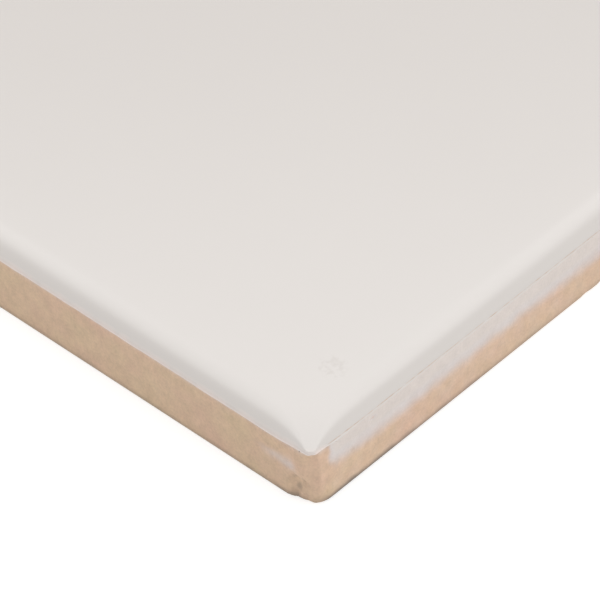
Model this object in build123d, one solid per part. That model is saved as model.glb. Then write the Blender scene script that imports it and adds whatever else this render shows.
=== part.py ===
"""A glazed ceramic wall tile with a cushion edge, dry-pressed and fired as one piece.

The tile lies on its keyed back. X and Y run along its sides and Z points out of its glazed face.
The origin is at the middle of the back, on the surface that the tile lies on. Sizes are in millimetres.
"""

import math
import os

from build123d import *

# The pressed blank
length = 100.0  # along X
width = 100.0  # along Y
thickness = 8.0  # from the back to the flat field of the face

# The cushion: the face rolls down towards every side in one arc
cushion_width = 3.0  # from the side to where the field turns flat
cushion_drop = 0.9  # from the field down to the arris above the side

# The upright corners: a narrow facet that runs into both sides
corner_clip = 1.3  # what the facet takes off each side
corner_blend = 1.5  # radius between the facet and a side

# The foot of the sides
base_bevel = 0.3

# The keyed back: pockets that the adhesive grips
key_depth = 0.8
key_rim = 6.0  # flat border outside the pockets
key_rib = 2.4  # flat rib between two pockets
key_pitch = 15.0  # spacing aimed at, from one rib to the next
key_corner = 1.5  # radius of a pocket's corners
key_draft = 20.0  # slope of a pocket's walls, in degrees, which lets the die release


def cushion_section(span):
    """A straight cut through the tile from one side to the other: flat back, upright sides, rolled face."""
    half = span / 2
    arris_height = thickness - cushion_drop
    roll_radius = (cushion_width**2 + cushion_drop**2) / (2 * cushion_drop)
    roll_angle = math.degrees(math.asin(cushion_width / roll_radius))

    field = Line((cushion_width - half, thickness), (half - cushion_width, thickness))
    roll = JernArc(field @ 1, (1, 0), roll_radius, -roll_angle)
    sides_and_back = Polyline((half, arris_height), (half, 0), (-half, 0), (-half, arris_height))
    return make_face([field, roll, sides_and_back, mirror(roll, Plane.YZ)])


def plan_outline():
    """The tile seen from above: a rectangle with a blended facet on each corner."""
    clipped = chamfer(Rectangle(length, width).vertices(), corner_clip)
    facet = corner_clip * math.sqrt(2)
    widest_blend = facet / 2 / math.tan(math.radians(45 / 2))
    return fillet(clipped.vertices(), min(corner_blend, 0.95 * widest_blend))


def pressed_blank():
    """Both cross sections and the plan in one solid, so that the rolls meet in a hip at each corner."""
    along_y = extrude(Plane.XZ * cushion_section(length), width / 2, both=True)
    along_x = extrude(Plane.YZ * cushion_section(width), length / 2, both=True)
    upright = extrude(plan_outline(), thickness)
    blank = along_y & along_x & upright
    foot = blank.faces().sort_by(Axis.Z)[0]
    return chamfer(foot.edges(), base_bevel)


def pocket_row(span):
    """How many pockets fit between the rims of a side, and how long each one is there."""
    room = span - 2 * key_rim + key_rib
    count = max(1, round(room / key_pitch))
    return count, room / count - key_rib


def key_pockets():
    """Rows of shallow pockets with rounded corners and sloped walls, open at the back."""
    count_x, pocket_x = pocket_row(length)
    count_y, pocket_y = pocket_row(width)
    corner = min(key_corner, 0.45 * min(pocket_x, pocket_y))
    pocket = extrude(RectangleRounded(pocket_x, pocket_y, corner), key_depth, taper=key_draft)
    places = GridLocations(pocket_x + key_rib, pocket_y + key_rib, count_x, count_y)
    return [place * pocket for place in places]


tile = pressed_blank() - key_pockets()

os.makedirs("parts", exist_ok=True)
export_step(tile, "parts/tile.step")
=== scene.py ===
"""A glazed wall tile with a cushion edge, lying on its keyed back on a white studio table.

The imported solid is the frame: X and Y run along the tile's sides and Z points out of the glazed face.
Sizes are in millimetres until they reach a mesh, a texture, a lamp or the camera, which are in metres.
"""

import math

import bpy
import numpy as np
from mathutils import Matrix, Vector, noise


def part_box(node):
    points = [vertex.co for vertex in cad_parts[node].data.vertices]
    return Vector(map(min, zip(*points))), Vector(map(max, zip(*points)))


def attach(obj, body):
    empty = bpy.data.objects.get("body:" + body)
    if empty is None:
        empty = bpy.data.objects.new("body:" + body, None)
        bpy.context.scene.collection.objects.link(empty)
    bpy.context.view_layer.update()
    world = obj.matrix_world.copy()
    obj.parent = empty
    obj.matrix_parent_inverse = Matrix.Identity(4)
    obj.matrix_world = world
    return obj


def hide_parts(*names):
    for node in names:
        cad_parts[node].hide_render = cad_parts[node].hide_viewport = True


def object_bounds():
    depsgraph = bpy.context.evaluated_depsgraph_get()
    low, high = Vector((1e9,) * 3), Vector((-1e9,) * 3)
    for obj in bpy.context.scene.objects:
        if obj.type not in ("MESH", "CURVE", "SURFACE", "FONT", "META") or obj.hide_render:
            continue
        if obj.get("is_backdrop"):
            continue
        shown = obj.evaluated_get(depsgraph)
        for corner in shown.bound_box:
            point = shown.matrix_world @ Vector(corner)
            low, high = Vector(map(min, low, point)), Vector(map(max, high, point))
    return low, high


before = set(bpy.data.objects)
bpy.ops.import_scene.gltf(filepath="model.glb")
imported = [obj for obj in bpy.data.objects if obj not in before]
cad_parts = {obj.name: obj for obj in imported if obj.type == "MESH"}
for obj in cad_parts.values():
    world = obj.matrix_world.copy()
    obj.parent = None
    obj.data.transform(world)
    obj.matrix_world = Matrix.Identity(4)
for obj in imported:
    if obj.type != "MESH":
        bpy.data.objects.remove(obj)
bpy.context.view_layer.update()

# The pressed body
# Damp earthenware dust is pressed in a steel die, which leaves upright sides and a cushioned face.
# A narrow facet is rubbed along each upright corner. One firing makes it soft, porous, buff bisque.
mm = 0.001
low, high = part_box("tile")
half = np.array([high.x - low.x, high.y - low.y]) / 2 / mm
thickness = (high.z - low.z) / mm

cushion_width = 3.1  # from a side to where its roll meets the field
cushion_drop = 0.9  # from the field down to the arris
cushion_power = 2.2  # above 1 the roll steepens towards the side
taper_start = 0.6  # from the end of a side to where its roll is narrowest
taper_length = 8.5  # from there to where it has its full width
taper_share = 0.95  # what the roll loses on the way to the corner
corner_drop = 0.48  # how far the face dips to each tip
hip_sharpness = 4.6  # how crisply two rolls meet
crown_width = 8.0  # border in which the field falls away from its crown
crown_drop = 0.04
crown_corner = 6.0  # radius of that border's corners
arris_radius = 0.17
facet_clip = 1.1  # what a facet takes off each side
facet_blend = 0.4  # radius between a facet and a side
worn_clip = 1.35  # the same two at the foot, where the facet is worn
worn_blend = 1.8
worn_from = 0.7  # share of the way down a side at which that wear begins
foot_radius = 0.35
lip_clip = 0.5  # the same two again where the glaze goes round the corner
lip_blend = 0.5
lip_depth = 0.23  # from the arris down to the lower edge of the glaze
lip_least = 0.05  # height that the glaze keeps below the arris
lip_tuck = 0.08  # from that lower edge down to where the bare side begins
glaze_stand = 0.05  # thickness of the glaze on a side

side_points = 200
side_crowding = 0.75  # 0 spaces the points of a side evenly, 1 crowds them to its ends
bend_points = 11
facet_points = 8
wall_rings = 32
foot_rings = 6


def uneven(places, size, seed):
    """A smooth chance value at each place, about -1 to 1, with bumps of the given size."""
    start = Vector((seed, 7 * seed, 3 * seed))
    return np.array([noise.noise(Vector(place) / size + start) for place in places])


def smooth_step(value, start, end):
    """From 0 at start to 1 at end, level at both."""
    share = np.clip((value - start) / (end - start), 0, 1)
    return share * share * (3 - 2 * share)


def plan(inset, clip, blend):
    """One level from above: a rectangle with a facet across each corner that blends into the sides."""
    turn = np.linspace(0, math.pi / 4, bend_points)
    reach = clip + blend * math.tan(math.pi / 8)
    bend = np.stack([blend * (1 - np.cos(turn)), reach - blend * np.sin(turn)], 1)
    steps = np.linspace(0, 1, facet_points)[1:-1, None]
    facet = bend[-1] + (bend[-1, ::-1] - bend[-1]) * steps
    corner = np.concatenate([bend, facet, bend[::-1, ::-1]])
    turns = (((1, 1), corner), ((-1, 1), corner[::-1]), ((-1, -1), corner), ((1, -1), corner[::-1]))
    corners = [signs * (half - inset - path) for signs, path in turns]
    steps = np.linspace(0, 1, side_points + 1)[1:-1]
    along = steps - side_crowding * np.sin(2 * math.pi * steps) / (2 * math.pi)
    loop = []
    for here, there in zip(corners, corners[1:] + corners[:1]):
        loop += [here, here[-1] + (there[0] - here[-1]) * along[:, None]]
    return np.concatenate(loop)


def cushion(flat):
    """Height of the face: a crowned field that rolls down to every side.

    The rolls narrow towards the corners, where the face dips to the tip instead.
    """
    from_sides = half - np.abs(flat)
    border = np.maximum(crown_width + crown_corner - from_sides, 0)
    crown = np.maximum(np.hypot(border[:, 0], border[:, 1]) - crown_corner, 0) / crown_width
    corner = (1 - np.clip((from_sides.sum(1) - taper_start) / taper_length, 0, 1)) ** 2
    rolls = 0
    for across, along in (from_sides.T, from_sides.T[::-1]):
        taper = 1 - taper_share * (1 - np.clip((along - taper_start) / taper_length, 0, 1)) ** 2
        inside = np.clip(across / (cushion_width * taper), 0, 1)
        rolls += ((cushion_drop - crown_drop) * taper * (1 - inside) ** cushion_power) ** hip_sharpness
    return thickness - rolls ** (1 / hip_sharpness) - crown_drop * crown**2 - corner_drop * corner


coat_start, coat_full = 1.6, 2.6  # from the end of a coated side, where its glaze begins
side_skin = 0.6  # depth within which a point counts as part of a side


def coated(places):
    """1 on the two sides that glaze ran down over, 0 on the other two and on the corner facets."""
    from_sides = half - np.abs(places[:, :2])
    return smooth_step(from_sides[:, 0], coat_start, coat_full) * (from_sides[:, 1] < side_skin)


def at_height(flat, height, stand):
    """Puts a level of the outside at its height, where the coated sides stand out by their glaze."""
    placed = np.column_stack([flat, np.broadcast_to(height, len(flat))])
    placed[:, 1] += np.sign(flat[:, 1]) * stand * coated(flat)
    return placed


# The glaze ends in a wavering line below the arris. It climbs at the corners and at one chip.
line_waves = ((0.1, 5.0, 1.3), (0.05, 1.2, 2.9))  # height, size and seed of each
climb_start, climb_end = 4.5, 0.3  # from a corner
climb, climb_wave = 0.3, 0.12
chip_place, chip_width, chip_height = 29.6, 0.8, 0.3  # on the left side, from the near corner
chip_wave = 0.5

lip = plan(0, lip_clip, lip_blend)
from_corner = (half - np.abs(lip)).max(1)
near_corner = 1 - smooth_step(from_corner, climb_end, climb_start)
lip = np.column_stack([lip, cushion(lip)])
glaze_line = np.full(len(lip), thickness - cushion_drop - lip_depth)
for wave, size, seed in line_waves:
    glaze_line += wave * uneven(lip, size, seed)
glaze_line += near_corner * (climb + climb_wave * uneven(lip, size=0.6, seed=4.1))
chip = np.exp(-(((lip[:, 1] + half[1] - chip_place) / chip_width) ** 2)) * (lip[:, 0] < 0)
glaze_line += chip_height * chip * (1 + chip_wave * uneven(lip, size=0.5, seed=5.9))
glaze_line = np.minimum(glaze_line, lip[:, 2] - arris_radius - lip_least)

body_rings = []
for fall in np.linspace(0, 1, wall_rings):
    worn = smooth_step(fall, worn_from, 1.0)
    clip = facet_clip + (worn_clip - facet_clip) * worn
    blend = facet_blend + (worn_blend - facet_blend) * worn
    height = (glaze_line - lip_tuck) * (1 - fall) + foot_radius * fall
    body_rings.append(at_height(plan(glaze_stand, clip, blend), height, glaze_stand))
for angle in np.linspace(0, math.pi / 2, foot_rings + 1)[1:]:
    inset = glaze_stand + foot_radius * (1 - math.cos(angle))
    height = foot_radius * (1 - math.sin(angle))
    body_rings.append(at_height(plan(inset, worn_clip, worn_blend), height, glaze_stand))

# A knock left a gouge in the left side beside the near corner, with a steep upper end.
gouge_start, gouge_end = (0.5, 1.5), (2.3, 3.5)  # along the side from the corner
gouge_top = (2.9, 3.8)
gouge_depth = 0.42
gouge_reach = 1.2  # depth within which the side is pushed in
for ring in body_rings:
    along = ring[:, 1] + half[1] + 0.3 * uneven(ring, size=0.9, seed=8.3)
    rise = ring[:, 2] + 0.35 * uneven(ring, size=0.8, seed=9.1)
    gouge = smooth_step(along, *gouge_start) * (1 - smooth_step(along, *gouge_end))
    gouge *= 1 - smooth_step(rise, *gouge_top)
    gouge *= half[0] + ring[:, 0] < gouge_reach
    ring[:, 0] += gouge_depth * gouge * (1 + 0.35 * uneven(ring, size=0.7, seed=3.7))

# Small pits and chips: four that are given by their place from the near corner, size and depth,
# then some by chance on every side, either at the foot or anywhere above it.
given_pits = (
    ((1.8, 0, 1.4), 0.3, 0.12),
    ((0, 30.5, 6.6), 0.4, 0.12),
    ((0, 28.8, 6.6), 0.3, 0.1),
    ((3.6, 0, 6.7), 0.25, 0.08),
)
chance_pits = 7
pit_sizes = (0.25, 0.6)
pit_heights = (0.5, 6)
pit_depth = 0.3  # of its size
pits = [(np.array(place) - (*half, 0), size, depth) for place, size, depth in given_pits]
chance = np.random.default_rng(5)
for side in range(4):
    for along in chance.uniform(-1, 1, chance_pits):
        turned = ((along, -1), (1, along), (along, 1), (-1, along))[side]
        size = chance.uniform(*pit_sizes)
        height = chance.choice((0.0, chance.uniform(*pit_heights)))
        pits.append(((*(half * turned), height), size, pit_depth * size))
for middle, size, depth in pits:
    inward = -np.array([middle[0] / half[0], middle[1] / half[1]]).round()
    for ring in body_rings:
        far = np.linalg.norm(ring - middle, axis=1) / size
        hit = far < 1
        ring[hit, :2] += np.outer(depth * (1 - far[hit] ** 2) ** 2, inward)


def linear(code):
    """A colour written as sRGB hex, as the linear values that a shader takes."""
    parts = [int(code[i : i + 2], 16) / 255 for i in (1, 3, 5)]
    return tuple(c / 12.92 if c <= 0.04045 else ((c + 0.055) / 1.055) ** 2.4 for c in parts) + (1.0,)


def add(tree, kind, inputs=None, **settings):
    """Adds a node with its settings. An input gets a value, or a link from another node's output."""
    made = tree.nodes.new(kind)
    for name, value in settings.items():
        setattr(made, name, value)
    for socket, value in (inputs or {}).items():
        if isinstance(value, bpy.types.NodeSocket):
            tree.links.new(value, made.inputs[socket])
        else:
            made.inputs[socket].default_value = value
    return made


# Bare bisque looks dry and dead matt, in a buff that clouds from pink to yellow and has a grain.
# The grit in the clay is about 0.1 mm. It is drawn coarser here so that it shows.
cloud_size = 4.0
blotch_size = 0.9
grit_size = 0.25
grit_relief = 0.06
film_patch_size = 1.6

bisque = bpy.data.materials.new("earthenware_bisque")
bisque.use_nodes = True
tree = bisque.node_tree
tree.nodes.clear()
place = add(tree, "ShaderNodeTexCoord").outputs["Object"]
mottle = add(
    tree,
    "ShaderNodeTexNoise",
    {"Vector": place, "W": 4.0, "Scale": 1 / (cloud_size * mm), "Detail": 3.0},
    noise_dimensions="4D",
)
clouds = add(
    tree,
    "ShaderNodeMapRange",
    {"Value": mottle.outputs["Fac"], "From Min": 0.3, "From Max": 0.7},
)
clay = add(
    tree,
    "ShaderNodeMixRGB",
    {"Fac": clouds.outputs[0], "Color1": linear("#D8B8A0"), "Color2": linear("#D6BD9E")},
)
blotch = add(
    tree,
    "ShaderNodeTexNoise",
    {"Vector": place, "Scale": 1 / (blotch_size * mm), "Detail": 2.0},
)
grain = add(tree, "ShaderNodeTexNoise", {"Vector": place, "Scale": 1 / (grit_size * mm), "Detail": 2.0})
fleck = add(
    tree,
    "ShaderNodeMath",
    {0: blotch.outputs["Fac"], 1: grain.outputs["Fac"]},
    operation="ADD",
)
speckle = add(
    tree,
    "ShaderNodeMapRange",
    {"Value": fleck.outputs[0], "From Min": 0.5, "From Max": 1.5, "To Min": 0.86, "To Max": 1.14},
)
# A film of glaze turns the bisque pale lilac, or cream high up where it is thickest, with a pink
# flush along its edge where it is thinnest. It hides part of the grain.
spilt = add(tree, "ShaderNodeAttribute", attribute_name="glaze_spill")
film_patches = add(
    tree,
    "ShaderNodeTexNoise",
    {"Vector": place, "Scale": 1 / (film_patch_size * mm), "Detail": 4.0},
)
broken = add(
    tree,
    "ShaderNodeMapRange",
    {"Value": film_patches.outputs["Fac"], "To Min": -0.2, "To Max": 0.2},
)
thick = add(tree, "ShaderNodeMath", {0: spilt.outputs["Fac"], 1: broken.outputs[0]}, operation="ADD")
flush = add(
    tree,
    "ShaderNodeMapRange",
    {"Value": spilt.outputs["Fac"], "From Min": 0.0, "From Max": 0.3, "To Max": 0.35},
)
flushed = add(
    tree,
    "ShaderNodeMixRGB",
    {"Fac": flush.outputs[0], "Color1": clay.outputs[0], "Color2": linear("#E3BDA4")},
)
film = add(
    tree,
    "ShaderNodeMapRange",
    {"Value": thick.outputs[0], "From Min": 0.0, "From Max": 1.0, "To Max": 0.95},
    interpolation_type="SMOOTHSTEP",
)
coat = add(
    tree,
    "ShaderNodeMapRange",
    {"Value": spilt.outputs["Fac"], "From Min": 0.6, "From Max": 1.1},
)
film_tone = add(
    tree,
    "ShaderNodeMixRGB",
    {"Fac": coat.outputs[0], "Color1": linear("#D6D1D2"), "Color2": linear("#DAD1CB")},
)
filmed = add(
    tree,
    "ShaderNodeMixRGB",
    {"Fac": film.outputs[0], "Color1": flushed.outputs[0], "Color2": film_tone.outputs[0]},
)
shown = add(tree, "ShaderNodeMapRange", {"Value": film.outputs[0], "To Min": 1.0, "To Max": 0.55})
grainy = add(
    tree,
    "ShaderNodeMixRGB",
    {"Fac": shown.outputs[0], "Color1": filmed.outputs[0], "Color2": speckle.outputs[0]},
    blend_type="MULTIPLY",
)
# Painted shade along the foot: a grey-brown darkening that stands in for the contact shadow on the table.
shaded_foot = add(tree, "ShaderNodeAttribute", attribute_name="painted_foot_shade")
clay_colour = add(
    tree,
    "ShaderNodeMixRGB",
    {"Fac": shaded_foot.outputs["Fac"], "Color1": grainy.outputs[0], "Color2": linear("#7A7068")},
)
rough = add(tree, "ShaderNodeMapRange", {"Value": film.outputs[0], "To Min": 0.9, "To Max": 0.5})
bump = add(
    tree,
    "ShaderNodeBump",
    {"Height": grain.outputs["Fac"], "Strength": 0.25, "Distance": grit_relief * mm},
)
shader = add(
    tree,
    "ShaderNodeBsdfPrincipled",
    {
        "Base Color": clay_colour.outputs[0],
        "Roughness": rough.outputs[0],
        "IOR": 1.5,
        "Normal": bump.outputs[0],
    },
)
add(tree, "ShaderNodeOutputMaterial", {"Surface": shader.outputs[0]})

# The keyed back
# The lower die presses rows of shallow pockets into the back, with sloped walls that let it release.
# Adhesive grips the ribs between them on a wall. The back is the same bare bisque as the sides.
key_depth = 0.8
key_rim = 6.0
key_rib = 2.4
key_pitch = 15.0
key_corner = 1.5
key_corner_least = 0.3
key_draft = math.radians(20)
key_edge = 0.12  # reach of the rounding along a pocket's mouth and floor
key_edge_middle = 0.03  # halfway round it, from where the sharp edge would be
key_edge_draft = 0.04  # what the sloped wall draws in over that reach
key_arc_points = 7
key_side_points = 4

room = 2 * half - 2 * key_rim + key_rib
pockets = np.maximum(1, np.round(room / key_pitch)).astype(int)
cell = room / pockets


def pocket(inset, height):
    """A loop round one pocket, drawn in from its mouth by the inset: four arcs and the sides between."""
    radius = max(key_corner - inset, key_corner_least)
    middle = (cell - key_rib) / 2 - inset - radius
    turn = np.linspace(0, math.pi / 2, key_arc_points)
    arcs = []
    for k, signs in enumerate(((1, 1), (-1, 1), (-1, -1), (1, -1))):
        angle = turn + k * math.pi / 2
        arcs.append(middle * signs + radius * np.stack([np.cos(angle), np.sin(angle)], 1))
    steps = np.linspace(0, 1, key_side_points + 2)[1:-1, None]
    loop = []
    for here, there in zip(arcs, arcs[1:] + arcs[:1]):
        loop += [here, here[-1] + (there[0] - here[-1]) * steps]
    loop = np.concatenate(loop)
    return np.column_stack([loop, np.full(len(loop), height)])


slope = key_depth * math.tan(key_draft)
key_rings = [
    pocket(-key_edge, 0),
    pocket(-key_edge_middle, key_edge_middle),
    pocket(key_edge_draft, key_edge),
    pocket(slope - key_edge_draft, key_depth - key_edge),
    pocket(slope + key_edge_middle, key_depth - key_edge_middle),
    pocket(slope + key_edge, key_depth),
]
cell_edge = key_rings[0] / np.abs(key_rings[0] / np.append(cell / 2, 1)).max(1)[:, None]
key_middles = []
for i in range(pockets[0]):
    for j in range(pockets[1]):
        key_middles.append(np.append(cell * ((i, j) - (pockets - 1) / 2), 0))

# The glaze
# The bisque runs under a falling curtain of opaque white glaze and is fired again. The melt lies level
# on the face, thins over the arris, and ends in a rounded lip below it or runs on down the side.
field_inset = 8.5  # from a side to the first ring
face_rings = 22
face_crowding = 1.5  # above 1 the rings crowd towards the arris
arris_rings = 8
corner_growth = 0.3  # how fast the rings' corners widen, going in
lip_profile = ((0.0, 0.04), (0.3, 0.012), (1.0, 0.0))  # share of the glaze taken off, and height
edge_thin_lit = 0.45  # at the top of the arris
edge_width = 0.4  # border of the face that is thinner
wear_middle = math.radians(55)  # how far round the arris the wear lies
wear_spread = math.radians(16)
glaze_rings = []
thin_lit_shares = []
wear = []


def add_glaze_ring(inset, drop, thin_lit_share, wearing):
    """One ring over the face, its bare sides thin and painted lighter and its coated ones worn as the two
    shares say.
    """
    clip = lip_clip + corner_growth * inset
    flat = plan(inset, clip, clip)
    glaze_rings.append(np.column_stack([flat, cushion(flat) - drop]))
    thin_lit_shares.append(thin_lit_share * (1 - coated(flat)))
    wear.append(wearing * coated(flat))


for share in np.linspace(1, 0, face_rings):
    inset = arris_radius + (field_inset - arris_radius) * share**face_crowding
    thin_lit_share = edge_thin_lit * (1 - smooth_step(inset, arris_radius, arris_radius + edge_width))
    add_glaze_ring(inset, 0, thin_lit_share, 0)
for angle in np.linspace(0, math.pi / 2, arris_rings + 1)[1:]:
    inset = arris_radius * (1 - math.sin(angle))
    drop = arris_radius * (1 - math.cos(angle))
    thin_lit_share = edge_thin_lit + (1 - edge_thin_lit) * smooth_step(angle, 0, wear_middle)
    wearing = math.exp(-(((angle - wear_middle) / wear_spread) ** 2))
    add_glaze_ring(inset, drop, thin_lit_share, wearing)
for share, rise in lip_profile:
    inset = share * glaze_stand
    ring = at_height(plan(inset, lip_clip, lip_blend), glaze_line + rise, inset)
    glaze_rings.append(ring)
    thin_lit_shares.append(1 - coated(ring))
    wear.append(np.zeros(len(ring)))

# The glaze gives the eye a clean wet gloss over a faintly clouded warm white, and a light cream line along
# the arris and the lip: partly the cream of thin glaze, partly a painted highlight where the lip catches
# light.
white_cloud_size = 18.0
thin_lit_patch_size = 1.5
worn_spot_size = 0.8
scuff_place = (9.4, 6.0, thickness)  # from the near corner
scuff_size = 2.8
scuff_core = 0.4  # share of its size within which it is strongest
scuff_speck_size = 0.48
ripple_size = 5.0
ripple_relief = 0.05

glaze = bpy.data.materials.new("white_gloss_glaze")
glaze.use_nodes = True
tree = glaze.node_tree
tree.nodes.clear()
place = add(tree, "ShaderNodeTexCoord").outputs["Object"]
cloud = add(
    tree,
    "ShaderNodeTexNoise",
    {"Vector": place, "Scale": 1 / (white_cloud_size * mm), "Detail": 2.0},
)
white = add(
    tree,
    "ShaderNodeMixRGB",
    {"Fac": cloud.outputs["Fac"], "Color1": linear("#DDD7D2"), "Color2": linear("#DFD9D4")},
)
# Thin glaze on the lip and arris: a cream lighter than the white, partly its own tint and partly painted
# highlight.
thin_lit = add(tree, "ShaderNodeAttribute", attribute_name="glaze_thin_lit")
thin_lit_patches = add(
    tree,
    "ShaderNodeTexNoise",
    {"Vector": place, "Scale": 1 / (thin_lit_patch_size * mm), "Detail": 3.0},
)
patchy_thin_lit = add(
    tree,
    "ShaderNodeMath",
    {0: thin_lit.outputs["Fac"], 1: thin_lit_patches.outputs["Fac"]},
    operation="MULTIPLY",
)
thin_lit_mix = add(
    tree,
    "ShaderNodeMapRange",
    {"Value": patchy_thin_lit.outputs[0], "From Min": 0.1, "From Max": 0.5},
)
whole = add(
    tree,
    "ShaderNodeMixRGB",
    {"Fac": thin_lit_mix.outputs[0], "Color1": white.outputs[0], "Color2": linear("#EDDFD8")},
)
# Along the arris of the coated sides the glaze is worn through here and there, to dull tan clay.
rubbed = add(tree, "ShaderNodeAttribute", attribute_name="glaze_wear")
worn_spots = add(
    tree,
    "ShaderNodeTexNoise",
    {"Vector": place, "Scale": 1 / (worn_spot_size * mm), "Detail": 2.0},
)
worn_share = add(
    tree,
    "ShaderNodeMath",
    {0: rubbed.outputs["Fac"], 1: worn_spots.outputs["Fac"]},
    operation="MULTIPLY",
)
worn_through = add(
    tree,
    "ShaderNodeMapRange",
    {"Value": worn_share.outputs[0], "From Min": 0.2, "From Max": 0.6, "To Max": 0.8},
)
worn_colour = add(
    tree,
    "ShaderNodeMixRGB",
    {"Fac": worn_through.outputs[0], "Color1": whole.outputs[0], "Color2": linear("#CDB09A")},
)
# One faint scuff on the face, behind the near corner, holds specks of dirt.
scuff_middle = Vector(scuff_place) - Vector((*half, 0))
from_scuff = add(tree, "ShaderNodeVectorMath", {0: place, 1: scuff_middle * mm}, operation="DISTANCE")
within_scuff = add(
    tree,
    "ShaderNodeMapRange",
    {
        "Value": from_scuff.outputs["Value"],
        "From Min": scuff_size * mm,
        "From Max": scuff_core * scuff_size * mm,
    },
)
specks = add(
    tree,
    "ShaderNodeTexNoise",
    {"Vector": place, "Scale": 1 / (scuff_speck_size * mm), "Detail": 2.0},
)
dirt = add(
    tree,
    "ShaderNodeMath",
    {0: within_scuff.outputs[0], 1: specks.outputs["Fac"]},
    operation="MULTIPLY",
)
scuffed = add(
    tree,
    "ShaderNodeMapRange",
    {"Value": dirt.outputs[0], "From Min": 0.42, "From Max": 0.66, "To Max": 0.14},
)
glaze_colour = add(
    tree,
    "ShaderNodeMixRGB",
    {"Fac": scuffed.outputs[0], "Color1": worn_colour.outputs[0], "Color2": linear("#A89A8E")},
)
rough = add(
    tree,
    "ShaderNodeMapRange",
    {"Value": worn_through.outputs[0], "To Min": 0.1, "To Max": 0.8},
)
ripple = add(
    tree,
    "ShaderNodeTexNoise",
    {"Vector": place, "Scale": 1 / (ripple_size * mm), "Detail": 1.0},
)
bump = add(
    tree,
    "ShaderNodeBump",
    {"Height": ripple.outputs["Fac"], "Strength": 0.1, "Distance": ripple_relief * mm},
)
shader = add(
    tree,
    "ShaderNodeBsdfPrincipled",
    {
        "Base Color": glaze_colour.outputs[0],
        "Roughness": rough.outputs[0],
        "IOR": 1.52,
        "Normal": bump.outputs[0],
    },
)
add(tree, "ShaderNodeOutputMaterial", {"Surface": shader.outputs[0]})

# The fired tile
# Body and glaze are one piece after the second firing, so one closed mesh carries both materials.
# Its faces are laid in rings: over the face, round the arris, down the sides and under to the pockets.
GLAZE, BISQUE = 0, 1
FACE, WALL, BACK = 0, 1, 2
field_loops = ((4, 9.5), (10, 12.0), (24, 16.0), (48, 25.0))  # one point in so many, and the inset
field_clip = 2.5
same_place = 1e-6
same_turn = 1e-5
weld_digits = 5
points, faces, finishes, charts = [], [], [], []


def add_loop(loop):
    """Adds the points of a loop and gives back their numbers."""
    start = len(points)
    points.extend(np.asarray(loop, float))
    return list(range(start, len(points)))


def add_faces(made, finish, chart):
    """Adds faces with the material that they show and the part of the map that they lie in."""
    faces.extend(made)
    finishes.extend([finish] * len(made))
    charts.extend([chart] * len(made))


def band(first, second, finish, chart):
    """Faces between two loops that start side by side.

    The second loop is the outer one on the face, the lower one on a side and the inner one on the back.
    """
    if len(first) == len(second):
        after = list(range(1, len(first))) + [0]
        made = [(first[k], second[k], second[n], first[n]) for k, n in enumerate(after)]
    else:
        turns = []
        for loop in (first, second):
            turn = np.unwrap([math.atan2(points[k][1], points[k][0]) for k in loop])
            turns.append(np.append(turn, turn[0] + 2 * math.pi))
        made, i, j = [], 0, 0
        while i < len(first) or j < len(second):
            here, there = first[i % len(first)], second[j % len(second)]
            if j == len(second) or (i < len(first) and turns[0][i + 1] < turns[1][j + 1]):
                i += 1
                made.append((here, there, first[i % len(first)]))
            else:
                j += 1
                made.append((here, there, second[j % len(second)]))
    add_faces(made, finish, chart)


def fan(middle, loop, finish, chart):
    """Faces from one middle point out to a loop."""
    after = loop[1:] + loop[:1]
    hub = add_loop([middle])[0]
    add_faces([(hub, here, there) for here, there in zip(loop, after)], finish, chart)


loops = [add_loop(ring) for ring in glaze_rings + body_rings]
glaze_state = np.stack([np.concatenate(thin_lit_shares), np.concatenate(wear)], 1)
for k, (upper, lower) in enumerate(zip(loops, loops[1:])):
    finish = GLAZE if k < len(glaze_rings) - 1 else BISQUE
    band(upper, lower, finish, FACE if k <= face_rings else WALL)

inner = loops[0]
for step, inset in field_loops:
    flat = plan(inset, field_clip, field_clip)[::step]
    loop = add_loop(np.column_stack([flat, cushion(flat)]))
    band(loop, inner, GLAZE, FACE)
    inner = loop
fan((0, 0, thickness), inner, GLAZE, FACE)

block = []
for middle in key_middles:
    outer = add_loop(cell_edge * (1, 1, 0) + middle)
    block += outer
    for ring in key_rings:
        loop = add_loop(ring + middle)
        band(outer, loop, BISQUE, BACK)
        outer = loop
    fan(middle + (0, 0, key_depth), outer[::-1], BISQUE, BACK)

# The rim joins the foot to the block of pockets. Points that two pockets share are taken once.
places = np.array([points[k] for k in block])
on_edge = (np.abs(np.abs(places[:, :2]) - room / 2) < same_place).any(1)
rim = [block[k] for k in np.flatnonzero(on_edge)]
foot_start = math.atan2(*points[loops[-1][0]][1::-1])
turn = {}
for k in rim:
    turn[k] = (math.atan2(points[k][1], points[k][0]) - foot_start + same_place) % (2 * math.pi)
rim = sorted(rim, key=turn.get)
rim = [k for n, k in enumerate(rim) if n == 0 or turn[k] - turn[rim[n - 1]] > same_turn]
band(loops[-1], rim, BISQUE, BACK)

skin, same = np.unique(np.round(points, weld_digits), axis=0, return_inverse=True)
faces = [tuple(same.ravel()[list(face)].tolist()) for face in faces]
skin_state = np.zeros((len(skin), 2))
skin_state[same.ravel()[: len(glaze_state)]] = glaze_state

mesh = bpy.data.meshes.new("glazed_tile")
mesh.from_pydata((skin * mm).tolist(), [], faces)
mesh.materials.append(glaze)
mesh.materials.append(bisque)
mesh.polygons.foreach_set("material_index", finishes)
mesh.polygons.foreach_set("use_smooth", [True] * len(faces))

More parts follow.
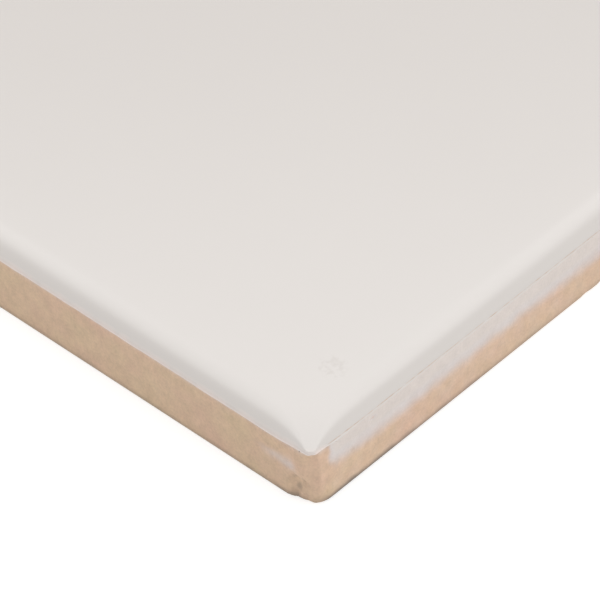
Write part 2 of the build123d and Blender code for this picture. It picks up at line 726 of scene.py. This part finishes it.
# Glaze ran down the coated sides to an uneven edge that stops short of the facets, with one bare mark.
spill_height = 4.05
spill_waves = ((0.35, 11.0, 5.5), (0.25, 2.5, 6.7))  # height, size and seed of each
spill_rise, spill_rise_reach = 0.3, 5.0  # at the ends of a side
spill_fade = 2.6  # height over which the film thins out
spill_range = (0.15, 1.1)
spill_ends = (1.6, 3.4)  # from the end of a side
mark_place, mark_size, mark_share = (8.3, 0, 6.2), (0.5, 1, 0.25), 0.6  # from the near corner
mark_edge = (0.3, 1.2)
from_end = half[0] - np.abs(skin[:, 0])
spill_edge = spill_height + spill_rise * np.exp(-from_end / spill_rise_reach)
for wave, size, seed in spill_waves:
    spill_edge += wave * uneven(skin * (1, 1, 0), size, seed)
spill = coated(skin) * np.clip(0.5 + (skin[:, 2] - spill_edge) / spill_fade, *spill_range)
spill *= smooth_step(from_end + 0.5 * uneven(skin, size=1.0, seed=2.2), *spill_ends)
from_near_corner = skin + (*half, 0)
from_mark = np.linalg.norm((from_near_corner - mark_place) / mark_size, axis=1)
spill *= 1 - mark_share * (1 - smooth_step(from_mark, *mark_edge))

# Glaze also hazes the clay just below its lip, and left one streak on the left side by the near corner.
haze_share, haze_fade = 0.4, 0.3
streak_height, streak_wave, streak_share = 4.5, 0.3, 0.5
streak_width, streak_narrowing = 1.15, 0.07  # at the corner, and what it loses with each millimetre
streak_start, streak_end = (1.5, 3.0), (4.0, 8.5)
below_lip = thickness - cushion_drop - lip_depth - skin[:, 2]
haze = haze_share * np.exp(-np.maximum(below_lip, 0) / haze_fade)
along = skin[:, 1] + half[1]
from_streak = skin[:, 2] - streak_height + streak_wave * uneven(skin, size=2.0, seed=3.3)
streak = np.exp(-((from_streak / (streak_width - streak_narrowing * along)) ** 2))
streak *= streak_share * smooth_step(along, *streak_start) * (1 - smooth_step(along, *streak_end))
streak *= skin[:, 0] < side_skin - half[0]
spill = np.maximum(np.maximum(spill, streak), haze)

# Painted shade along the foot stands in for the contact shadow. It is fainter away from the corners and on
# the facets, and little of it reaches the back.
coated_shade_reach, coated_shade_power = 34.0, 1.6
bare_shade_least, bare_shade_rise, bare_shade_reach = 0.48, 0.4, 5.0
facet_shade, facet_width = 0.35, (1.0, 2.4)
back_loss, back_start = 0.7, (0.4, 3.0)
shade_top = (0.15, 0.95)
from_sides = half - np.abs(skin[:, :2])
to_corner = from_sides.max(1)
coated_shading = np.exp(-((to_corner / coated_shade_reach) ** coated_shade_power))
bare_shading = bare_shade_least + bare_shade_rise * np.exp(-to_corner / bare_shade_reach)
foot_shading = np.where(from_sides[:, 1] < side_skin, coated_shading, bare_shading)
foot_shading *= facet_shade + (1 - facet_shade) * smooth_step(to_corner, *facet_width)
foot_shading *= 1 - back_loss * smooth_step(from_sides.min(1), *back_start)
painted_shade = foot_shading * (1 - smooth_step(skin[:, 2] + 0.2 * uneven(skin, size=1.2, seed=7.7), *shade_top))

# Painted shade also darkens the gouge, where its recess falls in shadow.
recess_depth, recess_reach = (0.12, 0.5), 0.9
recess_start, recess_end, recess_top = (1.0, 1.6), (2.8, 3.6), (3.0, 4.0)
recess_share = 0.45
gouge_shade = smooth_step(skin[:, 0] + half[0], *recess_depth) * (skin[:, 0] < recess_reach - half[0])
gouge_shade *= smooth_step(along, *recess_start) * (1 - smooth_step(along, *recess_end))
gouge_shade *= 1 - smooth_step(skin[:, 2], *recess_top)
gouge_shade *= recess_share * smooth_step(uneven(skin, size=0.8, seed=6.1), -0.4, 0.5)
painted_shade = np.maximum(painted_shade, gouge_shade)

# The marks that the materials read. The foot mark is painted shade, along the foot and in the gouge.
marks = {
    "glaze_spill": spill,
    "glaze_thin_lit": skin_state[:, 0],
    "glaze_wear": skin_state[:, 1],
    "painted_foot_shade": painted_shade,
}
for name, values in marks.items():
    mesh.attributes.new(name, "FLOAT", "POINT").data.foreach_set("value", values.astype(np.float32))

# A map for baking: the face and the back side by side, and the four sides as strips above them.
map_margin = 0.005
chart_size = 0.485  # of the face and of the back
chart_start = 0.51  # of the back going across, and of the strips going up
strip_length = 0.985
strip_pitch = 0.12
strip_height = 0.1
face_corners = np.concatenate(faces)
owner = np.repeat(np.arange(len(faces)), [len(face) for face in faces])
corner_points = skin[face_corners]
outward = (np.array([skin[list(face)].mean(0) for face in faces])[:, :2] / half)[owner]
chart = np.array(charts)[owner]
flat_u = (corner_points[:, 0] / half[0] + 1) / 2
flat_v = (corner_points[:, 1] / half[1] + 1) / 2
across_x = np.abs(outward[:, 0]) > np.abs(outward[:, 1])
strip = np.where(across_x, outward[:, 0] > 0, 2 + (outward[:, 1] > 0))
strip_u = map_margin + strip_length * np.where(across_x, flat_v, flat_u)
strip_v = chart_start + strip_pitch * strip + strip_height * corner_points[:, 2] / thickness
face_u = map_margin + chart_size * flat_u
back_u = chart_start + chart_size * flat_u
face_v = map_margin + chart_size * flat_v
u = np.choose(chart, (face_u, strip_u, back_u))
v = np.choose(chart, (face_v, strip_v, face_v))
uv = np.stack([u, v], 1).ravel().astype(np.float32)
mesh.uv_layers.new(name="OFBake").data.foreach_set("uv", uv)

tile = bpy.data.objects.new("glazed_tile", mesh)
bpy.context.scene.collection.objects.link(tile)
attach(tile, "root")
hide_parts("tile")

# The studio table
# The tile lies on a sheet of white acrylic that is lit from below, so it takes the shadow faintly.
table_half = 3000.0
table_gap = 0.02
table_glow = 0.4
table_shine = 0.68


def backdrop(tree, lighting, seen):
    """Strength of a white backdrop: one where it lights the tile, one where an eye or a mirror meets it."""
    path = add(tree, "ShaderNodeLightPath")
    meets = path.outputs["Is Camera Ray"]
    for ray in ("Is Glossy Ray", "Is Transmission Ray"):
        meets = add(tree, "ShaderNodeMath", {0: meets, 1: path.outputs[ray]}, operation="MAXIMUM").outputs[0]
    return add(tree, "ShaderNodeMapRange", {"Value": meets, "To Min": lighting, "To Max": seen}).outputs[0]


mesh = bpy.data.meshes.new("studio_table")
ends = table_half * mm
sheet = [(-ends, -ends, 0), (ends, -ends, 0), (ends, ends, 0), (-ends, ends, 0)]
mesh.from_pydata(sheet, [], [(0, 1, 2, 3)])
table = bpy.data.objects.new("studio_table", mesh)
table.location.z = -table_gap * mm
bpy.context.scene.collection.objects.link(table)
acrylic = bpy.data.materials.new("white_acrylic")
acrylic.use_nodes = True
tree = acrylic.node_tree
tree.nodes.clear()
diffuse = add(tree, "ShaderNodeBsdfDiffuse", {"Color": linear("#D0D0D0")})
glow = add(tree, "ShaderNodeEmission", {"Strength": backdrop(tree, table_glow, table_shine)})
lit = add(tree, "ShaderNodeAddShader", {0: diffuse.outputs[0], 1: glow.outputs[0]})
add(tree, "ShaderNodeOutputMaterial", {"Surface": lit.outputs[0]})
mesh.materials.append(acrylic)
table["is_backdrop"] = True


# The studio light
# One wide softbox hangs behind the tile and above it, a smaller one stands low at the right,
# and the room is white. Each softbox is a lamp behind cloth that glows less towards its rim.
def softbox(name, azimuth, elevation, distance, width, height, brightness, fade):
    """A softbox that faces the tile, turned and raised by the two angles as seen from there.

    The brightness is in times plain white, and the fade is the share of its width that is rim.
    """
    lamp = bpy.data.lights.new(name, "AREA")
    lamp.shape = "RECTANGLE"
    lamp.size = width * mm
    lamp.size_y = height * mm
    lamp.energy = brightness * math.pi * lamp.size * lamp.size_y
    lamp.use_nodes = True
    tree = lamp.node_tree
    tree.nodes.clear()
    spot = add(tree, "ShaderNodeNewGeometry").outputs["Parametric"]
    spot = add(tree, "ShaderNodeSeparateXYZ", {0: spot})
    rims = []
    for axis in (0, 1):
        offset = add(tree, "ShaderNodeMath", {0: spot.outputs[axis], 1: 0.5}, operation="SUBTRACT")
        from_middle = add(tree, "ShaderNodeMath", {0: offset.outputs[0]}, operation="ABSOLUTE")
        rim = add(
            tree,
            "ShaderNodeMapRange",
            {"Value": from_middle.outputs[0], "From Min": 0.5, "From Max": 0.5 - fade / 2},
            interpolation_type="SMOOTHSTEP",
        )
        rims.append(rim.outputs[0])
    cloth = add(tree, "ShaderNodeMath", {0: rims[0], 1: rims[1]}, operation="MULTIPLY")
    glow = add(tree, "ShaderNodeEmission", {"Strength": cloth.outputs[0]})
    add(tree, "ShaderNodeOutputLight", {"Surface": glow.outputs[0]})
    holder = bpy.data.objects.new(name, lamp)
    turn, lift = math.radians(azimuth), math.radians(elevation)
    way = Vector((math.cos(turn) * math.cos(lift), math.sin(turn) * math.cos(lift), math.sin(lift)))
    holder.location = way * distance * mm
    holder.rotation_euler = way.to_track_quat("Z", "Y").to_euler()
    bpy.context.scene.collection.objects.link(holder)
    return holder


softbox(
    "back_softbox",
    azimuth=44.6,
    elevation=60.0,
    distance=800,
    width=1008,
    height=626,
    brightness=2.33,
    fade=0.56,
)
low_softbox = softbox(
    "right_softbox",
    azimuth=299.0,
    elevation=10.4,
    distance=1000,
    width=600,
    height=600,
    brightness=2.43,
    fade=0.3,
)
# The low one stays out of reflections. At a flat angle from behind, it would wash out the glaze.
low_softbox.visible_glossy = False

room_light = 0.63
room_white = 1.0
world = bpy.data.worlds.new("white_room")
bpy.context.scene.world = world
world.use_nodes = True
tree = world.node_tree
tree.nodes.clear()
strength = backdrop(tree, room_light, room_white)
air = add(tree, "ShaderNodeBackground", {"Color": linear("#FFFFFF"), "Strength": strength})
add(tree, "ShaderNodeOutputWorld", {"Surface": air.outputs[0]})

# The camera
# A long lens looks down on one corner of the tile, held a little askew.
# The foot of that corner lies at the given pixel and depth.
frame_side = 600
focal_pixels = 5000
azimuth, elevation, askew = (math.radians(angle) for angle in (-44.644, 43.718, 3.189))
corner_pixel = (314.09, 512.79)
corner_depth = 461.97
level_reach = math.cos(elevation)
back = Vector((math.sin(azimuth) * level_reach, -math.cos(azimuth) * level_reach, math.sin(elevation)))
level = Vector((0, 0, 1)).cross(back).normalized()
upright = back.cross(level)
right = level * math.cos(askew) - upright * math.sin(askew)
up = level * math.sin(askew) + upright * math.cos(askew)
across = (corner_pixel[0] - frame_side / 2) / focal_pixels * corner_depth
down = (corner_pixel[1] - frame_side / 2) / focal_pixels * corner_depth
eye = Vector((-half[0], -half[1], 0)) + back * corner_depth - right * across + up * down
lens = bpy.data.cameras.new("camera")
lens.sensor_width = 36
lens.lens = lens.sensor_width * focal_pixels / frame_side
lens.clip_start = 0.01
camera = bpy.data.objects.new("camera", lens)
camera.matrix_world = Matrix.Translation(eye * mm) @ Matrix((right, up, back)).transposed().to_4x4()
bpy.context.scene.collection.objects.link(camera)
bpy.context.scene.camera = camera
bpy.context.scene.view_settings.view_transform = "Standard"

# The box round everything shown, apart from the backdrop
low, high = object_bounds()
